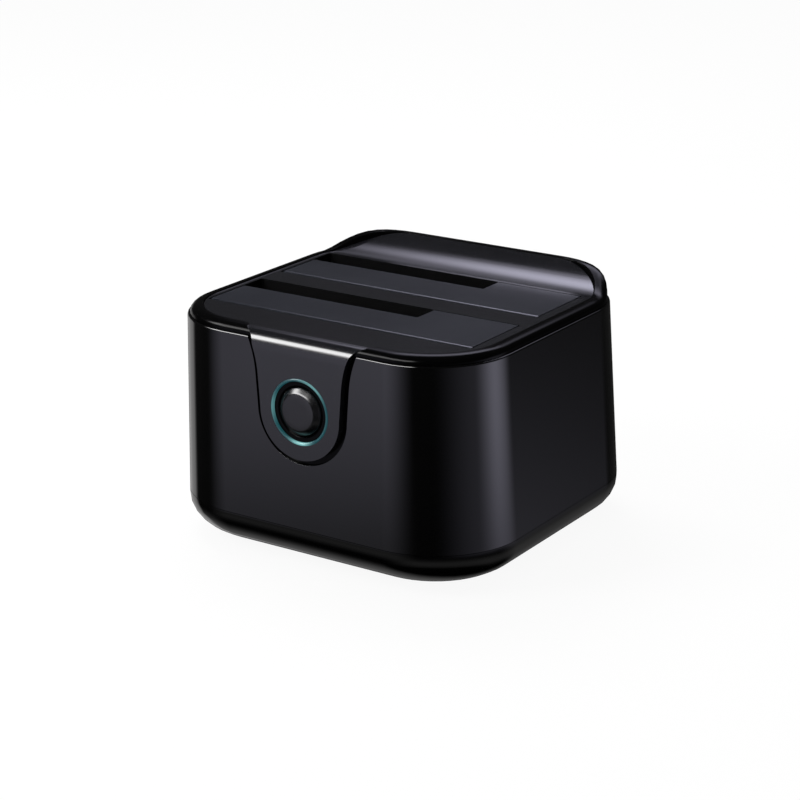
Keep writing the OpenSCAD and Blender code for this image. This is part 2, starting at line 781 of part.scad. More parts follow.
// Wire of a torsion spring round the X axis: a hook to the front, the coil, a leg to the back
function spring_path() =
    concat([[-coil_half, -spring_hook, -coil_r]],
           [for (i = [0 : spring_turns * 8]) let (a = 45 * i - 90)
               [-coil_half + spring_pitch * i / 8, coil_r * cos(a), coil_r * sin(a)]],
           [[coil_half, spring_leg, -coil_r]]);
function unit(v) = v / norm(v);
function path_dir(p, i) = unit(p[min(i + 1, len(p) - 1)] - p[max(i - 1, 0)]);
function wire_ring(centre, dir, r) =
    let (u = unit(cross(dir, [1, 0, 0])), v = cross(dir, u))
    [for (k = [0 : 5]) centre + r * (cos(60 * k) * u + sin(60 * k) * v)];

module flap_spring(bay_y) {
    path = spring_path();
    color([0.62, 0.63, 0.66])
        translate([spring_x, bay_y + hinge_dy, z_hinge])
            tray([for (i = [0 : len(path) - 1])
                wire_ring(path[i], path_dir(path, i), spring_wire / 2)]);
}

module front_flap_spring() {
    flap_spring(front_bay_y);
}

module rear_flap_spring() {
    flap_spring(rear_bay_y);
}

// Distance of a plane behind the tongue's face, as used by button_turn
function behind(y) = y_face - y;

module power_button() {
    edge = [for (i = [0 : 6]) let (a = 90 - 90 * i / 6)
        [cap_r - cap_edge + cap_edge * cos(a), cap_proud - cap_edge + cap_edge * sin(a)]];
    hollow = cap_r - cap_skin;
    color([0.2, 0.2, 0.22])
        button_turn()
            polygon(concat([[0, cap_proud]], edge,
                           [[cap_r, behind(y_cap_flange)],
                            [cap_flange_r, behind(y_cap_flange)],
                            [cap_flange_r, behind(y_cap_flange + cap_flange_t)],
                            [hollow, behind(y_cap_flange + cap_flange_t)],
                            [hollow, cap_proud - cap_edge - cap_skin],
                            [stem_r, cap_proud - cap_edge - cap_skin],
                            [stem_r, behind(y_plunger)],
                            [0, behind(y_plunger)]]));
}

module switch_plunger() {
    color([0.1, 0.1, 0.1])
        rod_y(plunger_r, y_plunger, y_switch + cap_travel, tongue_x, button_z);
}

module button_collar() {
    color([0.02, 0.02, 0.02])
        button_turn()
            polygon([[collar_in + 0.4, -collar_recess], [collar_out, -collar_recess],
                     [collar_out, behind(y_collar)], [collar_flange_r, behind(y_collar)],
                     [collar_flange_r, behind(y_collar + collar_flange_t)],
                     [collar_in, behind(y_collar + collar_flange_t)],
                     [collar_in, -collar_recess - 0.4]]);
}

module light_ring() {
    color([0.35, 0.8, 0.78])
        button_turn()
            polygon([[ring_in, ring_proud - 0.2], [ring_in + 0.2, ring_proud],
                     [ring_r - 0.2, ring_proud], [ring_r, ring_proud - 0.2],
                     [ring_r, behind(y_apron)], [pipe_r, behind(y_apron)],
                     [pipe_r, behind(y_pipe)], [collar_flange_r + 0.1, behind(y_pipe)],
                     [collar_flange_r + 0.1, behind(y_collar - 0.1)],
                     [ring_in, behind(y_collar - 0.1)]]);
}

module button_board() {
    color([0.05, 0.25, 0.15])
    difference() {
        box([tongue_x - bboard_w / 2, y_bboard, button_z - bboard_h / 2],
            [tongue_x + bboard_w / 2, y_bboard + bboard_t, button_z + bboard_h / 2]);
        for (p = bboard_posts)
            rod_y(small_screw_r + 0.2, y_bboard - 1, y_bboard + bboard_t + 1,
                  tongue_x + p.x, button_z + p.y);
    }
}

module button_switch() {
    color([0.15, 0.15, 0.16])
    difference() {
        box([tongue_x - switch_w / 2, y_switch, button_z - switch_w / 2],
            [tongue_x + switch_w / 2, y_bboard, button_z + switch_w / 2]);
        rod_y(plunger_r + pin_play, y_switch - 1, y_switch + 2 * cap_travel + 0.2, tongue_x, button_z);
    }
}

module ring_leds() {
    led_r = ring_r + 0.6;
    color([0.8, 0.95, 0.95])
        for (a = [55, 165, 270])
            translate([tongue_x + led_r * cos(a), y_bboard - led_h, button_z + led_r * sin(a)])
                box([-1, 0, -0.6], [1, led_h, 0.6]);
}

module button_header() {
    color([0.85, 0.83, 0.76])
        box([-header_w / 2, board_y0 + 1, board_top],
            [header_w / 2, board_y0 + 1 + header_d, board_top + header_h]);
}

module button_ribbon() {
    y0 = y_bboard + bboard_t;
    bottom = board_top + header_h;
    y_plug = board_y0 + 1 + header_d / 2;
    z_bend = button_z - bboard_h / 2 - 3;
    color([0.75, 0.75, 0.73])
        along_x(-ribbon_w / 2, ribbon_w / 2)
            polygon([[y0, z_bend + 9], [y0, z_bend], [y_plug - ribbon_t / 2, z_bend - 6],
                     [y_plug - ribbon_t / 2, bottom], [y_plug + ribbon_t / 2, bottom],
                     [y_plug + ribbon_t / 2, z_bend - 5.8], [y0 + ribbon_t, z_bend + 0.2],
                     [y0 + ribbon_t, z_bend + 9]]);
}

// Board outline with cut corners that clear the pan's rounded corners
function board_points() =
    let (x = board_w / 2, c = board_cut)
    [[-x + c, board_y0], [x - c, board_y0], [x, board_y0 + c], [x, board_y1 - c],
     [x - c, board_y1], [-x + c, board_y1], [-x, board_y1 - c], [-x, board_y0 + c]];

module main_board() {
    color([0.05, 0.25, 0.15])
    difference() {
        translate([0, 0, z_board]) linear_extrude(board_t) polygon(board_points());
        at_board_posts()
            translate([0, 0, z_board - 1]) cylinder(r = board_screw_r + 0.2, h = board_t + 2);
    }
}

// Upright drive connector with its two keyed slots
module sata_connector(bay_y) {
    x = bay_x0 + sata_dx;
    y = bay_y + bay_d - sata_dy;
    slot = 2.4;
    depth = 5.5;
    color([0.04, 0.04, 0.045])
    difference() {
        box([x - sata_l / 2, y - sata_w / 2, board_top],
            [x + sata_l / 2, y + sata_w / 2, board_top + sata_h]);
        box([x - sata_l / 2 + 4, y - slot / 2, board_top + sata_h - depth],
            [x - sata_l / 2 + 14.6, y + slot / 2, board_top + sata_h + 1]);
        box([x - sata_l / 2 + 17, y - slot / 2, board_top + sata_h - depth],
            [x + sata_l / 2 - 4, y + slot / 2, board_top + sata_h + 1]);
    }
}

module front_sata_connector() {
    sata_connector(front_bay_y);
}

module rear_sata_connector() {
    sata_connector(rear_bay_y);
}

module bridge_chip() {
    color([0.06, 0.06, 0.06])
        translate([bridge_x, front_bay_y + bay_d / 2, board_top])
            box([-bridge_w / 2, -bridge_w / 2, 0], [bridge_w / 2, bridge_w / 2, bridge_h]);
}

module power_chips() {
    color([0.06, 0.06, 0.06])
        for (i = [1 : 3])
            translate([i * chip_pitch, rear_bay_y + bay_d / 2, board_top])
                box([-chip_w / 2, -chip_d / 2, 0], [chip_w / 2, chip_d / 2, chip_h]);
}

module power_coil() {
    color([0.16, 0.16, 0.17])
        translate([coil_in - board_w / 2, board_y1 - part_in, board_top])
            box([-coil_w / 2, -coil_w / 2, 0], [coil_w / 2, coil_w / 2, coil_h]);
}

module board_capacitors() {
    color([0.55, 0.56, 0.6])
        for (x = [-can_pitch / 2, can_pitch / 2])
            translate([x, board_y1 - part_in, board_top]) cylinder(r = can_r, h = can_h);
}

module usb_socket() {
    y0 = y_port - usb_l;
    z_top = board_top + usb_h;
    hump_w = 7;
    hump_h = 3.6;
    color([0.75, 0.76, 0.78])
    difference() {
        box([usb_x - usb_w / 2, y0, board_top], [usb_x + usb_w / 2, y_port, z_top]);
        usb_mouth(y0, z_top, hump_w, hump_h);
    }
}

// Mouth of the data socket: a square part with a narrower raised part above it
module usb_mouth(y0, z_top, hump_w, hump_h) {
    box([usb_x - usb_w / 2 + 1.4, y0 + 2, board_top + usb_t],
        [usb_x + usb_w / 2 - 1.4, y_port + 1, z_top - hump_h]);
    box([usb_x - hump_w / 2, y0 + 2, z_top - hump_h - 1], [usb_x + hump_w / 2, y_port + 1, z_top - usb_t]);
}

module usb_contacts() {
    color([0.1, 0.2, 0.5])
        box([usb_x - 2.8, y_port - usb_l + 2, board_top + 3], [usb_x + 2.8, y_port - 2.5, board_top + 6.2]);
}

module dc_jack() {
    y1 = y_port - dc_nose_l;
    color([0.04, 0.04, 0.045])
    difference() {
        union() {
            box([dc_x - dc_w / 2, y1 - dc_l, board_top], [dc_x + dc_w / 2, y1, board_top + dc_h]);
            rod_y(dc_nose_r, y1 - eps, y_port, dc_x, dc_z);
        }
        rod_y(dc_bore_r, y_port - dc_bore_l, y_port + 1, dc_x, dc_z);
    }
}

module dc_jack_pin() {
    color([0.75, 0.72, 0.6])
        rod_y(dc_pin_r, y_port - dc_bore_l, y_port - dc_bore_l + dc_pin_l, dc_x, dc_z);
}

module feet() {
    color([0.08, 0.08, 0.08])
        at_feet() {
            cylinder(r1 = foot_r - 0.4, r2 = foot_r, h = 0.4);
            translate([0, 0, 0.4 - eps]) cylinder(r = foot_r, h = foot_h + foot_pocket - 0.4 + eps);
        }
}

module case_screws() {
    color([0.5, 0.5, 0.52])
        at_case_screws()
            translate([0, 0, foot_h + case_sink - case_head_h - 0.05])
                screw_up(case_screw_r, case_head_r, case_head_h, case_screw_l);
}

module board_screws() {
    color([0.6, 0.6, 0.62])
        at_board_posts()
            translate([0, 0, board_top + board_head_h]) mirror([0, 0, 1])
                screw_up(board_screw_r, board_head_r, board_head_h, board_t + board_grip);
}

module well_screws() {
    color([0.6, 0.6, 0.62])
        at_all_well_tabs()
            translate([0, 0, well_top - tab_t - small_head_h])
                screw_up(small_screw_r, small_head_r, small_head_h, tab_t + collar_h + 1);
}

module button_screws() {
    color([0.6, 0.6, 0.62])
        for (p = bboard_posts)
            translate([tongue_x + p.x, y_bboard + bboard_t + small_head_h, button_z + p.y]) rotate([90, 0, 0])
                screw_up(small_screw_r, small_head_r, small_head_h, bboard_t + small_grip);
}

body_shell();
base_pan();
top_bezel();
top_deck();
front_bay_well();
rear_bay_well();
front_flap();
rear_flap();
front_flap_pin();
rear_flap_pin();
front_flap_spring();
rear_flap_spring();
power_button();
switch_plunger();
button_collar();
light_ring();
button_board();
button_switch();
ring_leds();
button_header();
button_ribbon();
main_board();
front_sata_connector();
rear_sata_connector();
bridge_chip();
power_chips();
power_coil();
board_capacitors();
usb_socket();
usb_contacts();
dc_jack();
dc_jack_pin();
feet();
case_screws();
board_screws();
well_screws();
button_screws();
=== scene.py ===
import math

import bmesh
import bpy
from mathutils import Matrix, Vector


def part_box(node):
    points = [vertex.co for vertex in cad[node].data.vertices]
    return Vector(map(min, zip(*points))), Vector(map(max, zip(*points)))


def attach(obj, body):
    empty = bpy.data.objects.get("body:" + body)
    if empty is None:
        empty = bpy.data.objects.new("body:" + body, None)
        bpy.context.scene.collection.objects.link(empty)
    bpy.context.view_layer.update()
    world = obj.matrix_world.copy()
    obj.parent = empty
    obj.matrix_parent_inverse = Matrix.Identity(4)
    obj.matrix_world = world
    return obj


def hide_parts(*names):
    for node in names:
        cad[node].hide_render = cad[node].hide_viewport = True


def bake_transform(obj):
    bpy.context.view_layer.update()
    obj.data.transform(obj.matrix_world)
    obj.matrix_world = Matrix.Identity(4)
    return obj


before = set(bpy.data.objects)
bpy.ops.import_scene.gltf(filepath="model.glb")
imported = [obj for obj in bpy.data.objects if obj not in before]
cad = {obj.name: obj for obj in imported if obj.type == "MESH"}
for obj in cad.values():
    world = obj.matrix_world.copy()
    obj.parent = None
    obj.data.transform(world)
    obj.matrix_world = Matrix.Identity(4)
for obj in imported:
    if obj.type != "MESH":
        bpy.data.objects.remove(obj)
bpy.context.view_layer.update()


# Base pan
# The deep rounded tray that closes the dock from below, moulded in high-gloss black plastic.
# Four recessed screws pull it up against the sleeve, with a fine parting line between the two.

def moulding_marks():
    """Slow smudges and a fine grain over a moulded surface, as two values."""
    group = bpy.data.node_groups.new("moulding_marks", "ShaderNodeTree")
    sockets = group.interface
    for label in ("Smudge Scale", "Grain Scale"):
        sockets.new_socket(label, in_out="INPUT", socket_type="NodeSocketFloat")
    for label in ("Smudge", "Grain"):
        sockets.new_socket(label, in_out="OUTPUT", socket_type="NodeSocketFloat")
    entry = group.nodes.new("NodeGroupInput")
    leave = group.nodes.new("NodeGroupOutput")
    place = group.nodes.new("ShaderNodeTexCoord")
    for label, detail, rough in (("Smudge", 3.0, 0.55), ("Grain", 2.0, 0.6)):
        noise = group.nodes.new("ShaderNodeTexNoise")
        noise.inputs["Detail"].default_value = detail
        noise.inputs["Roughness"].default_value = rough
        group.links.new(place.outputs["Object"], noise.inputs["Vector"])
        group.links.new(entry.outputs[label + " Scale"], noise.inputs["Scale"])
        group.links.new(noise.outputs["Fac"], leave.inputs[label])
    return group


def two_shades(tree, mask, dark, light):
    """A colour that goes from dark to light as the mask goes from 0 to 1."""
    shade = tree.nodes.new("ShaderNodeMix")
    shade.data_type = "RGBA"
    shade.inputs["A"].default_value = (*dark, 1)
    shade.inputs["B"].default_value = (*light, 1)
    tree.links.new(mask, shade.inputs["Factor"])
    return shade.outputs["Result"]


def moulded(name, dark, light, rough, smudge=22.0, grain=900.0, relief=0.0, ior=1.5):
    """Moulded plastic: two close shades and two roughness values that drift, and a fine grain."""
    made = bpy.data.materials.new(name)
    made.use_nodes = True
    tree = made.node_tree
    shader = tree.nodes["Principled BSDF"]
    shader.inputs["IOR"].default_value = ior
    marks = tree.nodes.new("ShaderNodeGroup")
    marks.node_tree = bpy.data.node_groups.get("moulding_marks") or moulding_marks()
    marks.inputs["Smudge Scale"].default_value = smudge
    marks.inputs["Grain Scale"].default_value = grain
    tree.links.new(two_shades(tree, marks.outputs["Smudge"], dark, light), shader.inputs["Base Color"])
    sheen = tree.nodes.new("ShaderNodeMapRange")
    sheen.inputs["From Min"].default_value = 0.3
    sheen.inputs["From Max"].default_value = 0.7
    sheen.inputs["To Min"].default_value = rough[0]
    sheen.inputs["To Max"].default_value = rough[1]
    tree.links.new(marks.outputs["Smudge"], sheen.inputs["Value"])
    tree.links.new(sheen.outputs["Result"], shader.inputs["Roughness"])
    if relief:
        bump = tree.nodes.new("ShaderNodeBump")
        bump.inputs["Strength"].default_value = relief
        grain_depth = 0.00004
        bump.inputs["Distance"].default_value = grain_depth
        tree.links.new(marks.outputs["Grain"], bump.inputs["Height"])
        tree.links.new(bump.outputs["Normal"], shader.inputs["Normal"])
    return made


weld_gap = 2e-6
flat_degrees = 0.5


def finished(form, name, crease, material):
    """A new object from a built form: smooth, but sharp where faces meet at more than the crease."""
    for face in form.faces:
        face.smooth = True
    mesh = bpy.data.meshes.new(name)
    form.to_mesh(mesh)
    form.free()
    mesh.set_sharp_from_angle(angle=math.radians(crease))
    mesh.materials.append(material)
    piece = bpy.data.objects.new(name, mesh)
    bpy.context.collection.objects.link(piece)
    return piece


def smooth_piece(node, name, body, material, crease=32, edge=0.0):
    """A dressed copy of a solid: welded, with flat areas joined, softly broken edges and smooth curves."""
    source = cad[node].data
    form = bmesh.new()
    corners = [form.verts.new(v.co) for v in source.vertices]
    for polygon in source.polygons:
        try:
            form.faces.new([corners[i] for i in polygon.vertices])
        except ValueError:
            pass
    bmesh.ops.remove_doubles(form, verts=form.verts, dist=weld_gap)
    bmesh.ops.dissolve_limit(form, angle_limit=math.radians(flat_degrees), verts=form.verts, edges=form.edges)
    piece = finished(form, name, crease, material)
    if edge:
        soft = piece.modifiers.new("broken_edges", "BEVEL")
        soft.width = edge
        soft.segments = 2
        soft.limit_method = "ANGLE"
        soft.angle_limit = math.radians(crease)
    even = piece.modifiers.new("even_normals", "WEIGHTED_NORMAL")
    even.keep_sharp = not edge
    even.weight = 80
    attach(piece, body)
    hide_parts(node)
    return piece


gloss_black = moulded("gloss_black", (0.0014, 0.0014, 0.0015), (0.0026, 0.0026, 0.0028), (0.05, 0.09))
smooth_piece("base_pan", "base_pan_tray", "dock", gloss_black, crease=40)


# Feet
# Four round rubber pads stuck in shallow pockets under the pan.

foot_rubber = moulded("foot_rubber", (0.012, 0.012, 0.012), (0.03, 0.03, 0.03), (0.7, 0.9), relief=0.4)


def dress(node, material):
    """Gives a solid that stays as it is the finish of its real piece."""
    mesh = cad[node].data
    mesh.materials.clear()
    mesh.materials.append(material)


dress("feet", foot_rubber)


# Screws
# Bright zinc-plated machine and plastic screws: case, board, well and button board.

def drawn_metal(name, dark, light, rough, stretch):
    """Plated or drawn metal: fine lines along one direction that vary shade and gloss."""
    made = bpy.data.materials.new(name)
    made.use_nodes = True
    tree = made.node_tree
    shader = tree.nodes["Principled BSDF"]
    shader.inputs["Metallic"].default_value = 1.0
    place = tree.nodes.new("ShaderNodeTexCoord")
    lines = tree.nodes.new("ShaderNodeMapping")
    lines.inputs["Scale"].default_value = stretch
    tree.links.new(place.outputs["Object"], lines.inputs["Vector"])
    noise = tree.nodes.new("ShaderNodeTexNoise")
    noise.inputs["Scale"].default_value = 300.0
    noise.inputs["Detail"].default_value = 3.0
    tree.links.new(lines.outputs["Vector"], noise.inputs["Vector"])
    tree.links.new(two_shades(tree, noise.outputs["Fac"], dark, light), shader.inputs["Base Color"])
    gloss = tree.nodes.new("ShaderNodeMapRange")
    gloss.inputs["To Min"].default_value = rough[0]
    gloss.inputs["To Max"].default_value = rough[1]
    tree.links.new(noise.outputs["Fac"], gloss.inputs["Value"])
    tree.links.new(gloss.outputs["Result"], shader.inputs["Roughness"])
    return made


zinc = drawn_metal("zinc", (0.42, 0.42, 0.44), (0.58, 0.58, 0.6), (0.25, 0.4), (1, 1, 0.2))
for screws in ("case_screws", "board_screws", "well_screws", "button_screws"):
    dress(screws, zinc)


# Main board
# Green glass-fibre board on four posts of the pan, with copper tracks showing through the mask.

def circuit_board(name, mask, track):
    """Solder mask in one shade with the tracks under it in another."""
    made = bpy.data.materials.new(name)
    made.use_nodes = True
    tree = made.node_tree
    shader = tree.nodes["Principled BSDF"]
    place = tree.nodes.new("ShaderNodeTexCoord")
    tracks = tree.nodes.new("ShaderNodeTexBrick")
    tracks.inputs["Scale"].default_value = 260.0
    tracks.inputs["Mortar Size"].default_value = 0.05
    tracks.inputs["Color1"].default_value = (0, 0, 0, 1)
    tracks.inputs["Color2"].default_value = (0.25, 0.25, 0.25, 1)
    tracks.inputs["Mortar"].default_value = (1, 1, 1, 1)
    tree.links.new(place.outputs["Object"], tracks.inputs["Vector"])
    tree.links.new(two_shades(tree, tracks.outputs["Color"], mask, track), shader.inputs["Base Color"])
    gloss = tree.nodes.new("ShaderNodeMapRange")
    gloss.inputs["To Min"].default_value = 0.35
    gloss.inputs["To Max"].default_value = 0.22
    tree.links.new(tracks.outputs["Fac"], gloss.inputs["Value"])
    tree.links.new(gloss.outputs["Result"], shader.inputs["Roughness"])
    return made


board_green = circuit_board("board_green", (0.008, 0.07, 0.03), (0.02, 0.16, 0.07))
dress("main_board", board_green)


# Parts on the main board
# Moulded chip packages, a shielded coil and two capacitor cans, soldered behind and under the wells.

chip_black = moulded("chip_black", (0.01, 0.01, 0.01), (0.02, 0.02, 0.02), (0.45, 0.6),
                     grain=2500.0, relief=0.3)
for chips in ("bridge_chip", "power_chips", "power_coil"):
    dress(chips, chip_black)
can_metal = drawn_metal("can_metal", (0.5, 0.5, 0.53), (0.68, 0.68, 0.7), (0.2, 0.35), (1, 1, 0.1))
dress("board_capacitors", can_metal)


# Drive connectors
# Upright black connectors, one under each bay, that take a drive's data and power edge.

connector_black = moulded("connector_black", (0.006, 0.006, 0.007), (0.014, 0.014, 0.015), (0.35, 0.5),
                          relief=0.2)
for connector in ("front_sata_connector", "rear_sata_connector"):
    dress(connector, connector_black)


# Back ports
# A square data socket in a plated steel shell and a round power inlet, both soldered to the board.

tin = drawn_metal("tin", (0.5, 0.5, 0.52), (0.7, 0.7, 0.72), (0.18, 0.32), (0.3, 1, 1))
contact_blue = moulded("contact_blue", (0.01, 0.04, 0.2), (0.02, 0.07, 0.32), (0.35, 0.5))
dress("usb_socket", tin)
dress("usb_contacts", contact_blue)
dress("dc_jack", connector_black)
dress("dc_jack_pin", tin)


# Drive wells
# Two open-topped boxes in matte black that guide a drive down to its connector.

# This near-black is the wells' own colour and is also laid on the deck's slot walls as painted shade.
well_black = moulded("well_black", (0.0012, 0.0012, 0.0013), (0.003, 0.003, 0.0032), (0.5, 0.65),
                     grain=1500.0, relief=0.3, ior=1.12)
for well in ("front_bay_well", "rear_bay_well"):
    dress(well, well_black)


# Body sleeve
# The drafted, round-cornered wall of the dock in the same high-gloss black, open at top and bottom.
# Its front has a cut-out for the tongue and its back has the two port openings.

smooth_piece("body_shell", "body_sleeve", "dock", gloss_black, crease=40, edge=0.00018)


# Top bezel
# The gloss black rim that clamps the sleeve from above, with the apron that shows as a dark border
# round the tongue.

rim_black = moulded("rim_black", (0.0014, 0.0014, 0.0015), (0.0026, 0.0026, 0.0028), (0.12, 0.18), ior=1.14)
smooth_piece("top_bezel", "top_bezel_rim", "dock", rim_black, crease=40, edge=0.00015)


# Deck and tongue
# Satin dark grey moulding with a fine spark-eroded texture. It drops into the rim, rises to the back
# ridge and folds down over the front as the tongue. Its slot walls take the wells' near-black as painted shade.

deck_grey = moulded("deck_grey", (0.0095, 0.0098, 0.012), (0.0118, 0.0122, 0.0148), (0.14, 0.18),
                    smudge=14.0, grain=2600.0, relief=0.08)
deck = smooth_piece("top_deck", "top_deck_panel", "dock", deck_grey, crease=32)
deck.data.materials.append(well_black)
# Faces behind the tongue and below the deck's top, the slot walls, get the near-black material: painted shade
# inside the slots.
tongue_back, painted_shade_top = -0.05, 0.0785
for face in deck.data.polygons:
    if face.center.y > tongue_back and face.center.z < painted_shade_top:
        face.material_index = 1


# Flaps
# Sprung doors over the bays with a hinge roll along the front edge, moulded like the deck.

flap_grey = moulded("flap_grey", (0.0095, 0.0115, 0.016), (0.012, 0.0145, 0.02), (0.21, 0.26),
                    smudge=14.0, grain=2600.0, relief=0.08)
for flap in ("front_flap", "rear_flap"):
    smooth_piece(flap, flap + "_door", flap, flap_grey, crease=32, edge=0.00012)


# Hinge pins and flap springs
# Drawn steel pins in the deck's ears, each with a torsion spring wound round it. The spring's hook bears on the
# deck and its long leg on the door; the spring here is a fixed copy of the solid.

steel = drawn_metal("steel", (0.45, 0.46, 0.48), (0.62, 0.63, 0.65), (0.2, 0.3), (0.05, 1, 1))
for wire in ("front_flap_pin", "rear_flap_pin"):
    dress(wire, steel)

for flap in ("front_flap", "rear_flap"):
    spring = bpy.data.objects.new(flap + "_torsion_spring", cad[flap + "_spring"].data.copy())
    bpy.context.collection.objects.link(spring)
    spring.data.materials.clear()
    spring.data.materials.append(steel)
    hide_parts(flap + "_spring")
    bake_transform(spring)


# Button board
# Small upright board behind the tongue with the switch, the ring's lamps and a flat cable to the header.

header_white = moulded("header_white", (0.6, 0.57, 0.48), (0.72, 0.69, 0.6), (0.4, 0.5))
ribbon_grey = moulded("ribbon_grey", (0.4, 0.4, 0.38), (0.5, 0.5, 0.48), (0.45, 0.6))
led_white = moulded("led_white", (0.7, 0.75, 0.74), (0.8, 0.85, 0.84), (0.3, 0.4))
dress("button_board", board_green)
dress("button_switch", chip_black)
dress("switch_plunger", chip_black)
dress("button_header", header_white)
dress("button_ribbon", ribbon_grey)
dress("ring_leds", led_white)


# Light ring
# Frosted light guide round the button. The lamps behind it light it teal, brightest in front of each lamp; the
# base colour there is painted lighter too, as painted glow.

ring_low, ring_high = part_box("light_ring")
ring_x = (ring_low[0] + ring_high[0]) / 2
ring_z = (ring_low[2] + ring_high[2]) / 2
ring_glow = bpy.data.materials.new("ring_glow")
ring_glow.use_nodes = True
tree = ring_glow.node_tree
shader = tree.nodes["Principled BSDF"]
shader.inputs["Roughness"].default_value = 0.3
shader.inputs["Emission Strength"].default_value = 1.0
place = tree.nodes.new("ShaderNodeTexCoord")
lamp_circle = 0.0106
total = None
for angle, reach, strength in ((60, 0.008, 0.36), (272, 0.006, 0.8), (178, 0.007, 0.26)):
    lamp = (ring_x + lamp_circle * math.cos(math.radians(angle)), ring_low[1],
            ring_z + lamp_circle * math.sin(math.radians(angle)))
    span = tree.nodes.new("ShaderNodeVectorMath")
    span.operation = "DISTANCE"
    span.inputs[1].default_value = lamp
    tree.links.new(place.outputs["Object"], span.inputs[0])
    near = tree.nodes.new("ShaderNodeMapRange")
    near.interpolation_type = "SMOOTHSTEP"
    near.inputs["From Min"].default_value = 0.0
    near.inputs["From Max"].default_value = reach
    near.inputs["To Min"].default_value = strength
    near.inputs["To Max"].default_value = 0.0
    tree.links.new(span.outputs["Value"], near.inputs["Value"])
    if total is None:
        total = near.outputs["Result"]
    else:
        add = tree.nodes.new("ShaderNodeMath")
        add.operation = "ADD"
        add.use_clamp = True
        tree.links.new(total, add.inputs[0])
        tree.links.new(near.outputs["Result"], add.inputs[1])
        total = add.outputs["Value"]
glow = two_shades(tree, total, (0.008, 0.055, 0.065), (0.24, 0.56, 0.56))
tree.links.new(glow, shader.inputs["Emission Color"])
# The base colour also goes lighter in front of each lamp, following the same mask as the emission: painted glow.
tint = two_shades(tree, total, (0.008, 0.03, 0.034), (0.05, 0.15, 0.15))
tree.links.new(tint, shader.inputs["Base Color"])
smooth_piece("light_ring", "light_ring_guide", "dock", ring_glow, crease=30)


# Button collar
# Black moulded bezel between the light ring and the cap. It keeps the cap's flange from coming out.

smooth_piece("button_collar", "button_collar_ring", "dock", rim_black, crease=30)


# Power button
# Turned-looking moulded cap with a flat face, a broad bevel round it and a hollow skirt with a flange that the
# collar holds back. Satin grey plastic. The section is a line of radius and depth in millimetres.

cap_grey = moulded("cap_grey", (0.006, 0.006, 0.007), (0.01, 0.01, 0.0115), (0.2, 0.26),
                   grain=2600.0, relief=0.06)
cap_low, cap_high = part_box("power_button")
cap_x = (cap_low[0] + cap_high[0]) / 2
cap_z = (cap_low[2] + cap_high[2]) / 2
face_r, bevel_r, bevel_deep = 5.7, 7.75, 1.4
turn_r, turn_deep = 6.5, 0.28
side_r, side_round, flange_r, flange_front, flange_back = 8.0, 0.8, 10.2, 6.2, 7.2
bore_r, face_back, post_r, post_end = 6.4, 3.1, 2.0, 9.9
round_from, round_deep = 50, 2.0
section = [(0.0, 0.0), (2.0, 0.0), (4.0, 0.0), (face_r, 0.0)]
for step in range(1, 6):
    share = step / 5
    section.append((face_r + (turn_r - face_r) * share, turn_deep * share * share))
for step in range(1, 4):
    section.append((turn_r + (bevel_r - turn_r) * step / 4, turn_deep + (bevel_deep - turn_deep) * step / 4))
for step in range(0, 6):
    angle = math.radians(round_from - round_from * step / 5)
    section.append((side_r - side_round + side_round * math.cos(angle), round_deep - side_round * math.sin(angle)))
section += [(side_r, flange_front), (flange_r, flange_front), (flange_r, flange_back), (bore_r, flange_back),
            (bore_r, face_back), (post_r, face_back), (post_r, post_end), (0.0, post_end)]
form = bmesh.new()
line = [form.verts.new((cap_x + r / 1000, cap_low[1] + d / 1000, cap_z)) for r, d in section]
chain = [form.edges.new(pair) for pair in zip(line, line[1:])]
bmesh.ops.spin(form, geom=line + chain, cent=(cap_x, 0, cap_z), axis=(0, 1, 0), angle=2 * math.pi, steps=96,
               use_merge=True)
bmesh.ops.remove_doubles(form, verts=form.verts, dist=weld_gap)
bmesh.ops.recalc_face_normals(form, faces=form.faces)
cap = finished(form, "power_button_cap", 50, cap_grey)
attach(cap, "button")
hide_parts("power_button")


# Studio floor
# Plain white floor. It keeps the dock's soft shadow and is otherwise as white as the backdrop. Its white is for
# the camera, reflections and glass alone, so that it puts no light of its own on the dock.

def seen_directly(tree):
    """1 for the rays that show the set itself: camera, reflection and glass rays."""
    rays = tree.nodes.new("ShaderNodeLightPath")
    seen = rays.outputs["Is Camera Ray"]
    for kind in ("Is Glossy Ray", "Is Transmission Ray"):
        either = tree.nodes.new("ShaderNodeMath")
        either.operation = "MAXIMUM"
        tree.links.new(seen, either.inputs[0])
        tree.links.new(rays.outputs[kind], either.inputs[1])
        seen = either.outputs["Value"]
    return seen


floor_white = bpy.data.materials.new("floor_white")
floor_white.use_nodes = True
tree = floor_white.node_tree
shader = tree.nodes["Principled BSDF"]
shader.inputs["Base Color"].default_value = (0.09, 0.09, 0.09, 1)
shader.inputs["Roughness"].default_value = 1.0
shader.inputs["Specular IOR Level"].default_value = 0.0
shader.inputs["Emission Color"].default_value = (1, 1, 1, 1)
white = tree.nodes.new("ShaderNodeMath")
white.operation = "MULTIPLY"
floor_glow = 0.925
white.inputs[1].default_value = floor_glow
tree.links.new(seen_directly(tree), white.inputs[0])
tree.links.new(white.outputs["Value"], shader.inputs["Emission Strength"])
far = 4
mesh = bpy.data.meshes.new("studio_floor")
mesh.from_pydata([(-far, -far, 0), (far, -far, 0), (far, far, 0), (-far, far, 0)], [], [(0, 1, 2, 3)])
mesh.materials.append(floor_white)
floor = bpy.data.objects.new("studio_floor", mesh)
bpy.context.collection.objects.link(floor)
floor.visible_glossy = False


# Light tent
# A round tent that only reflections see. Its cloth is dark, with soft bright panels that the gloss picks up:
# one in front, a strong one above it, one behind and above the ramp, and strips to both sides.

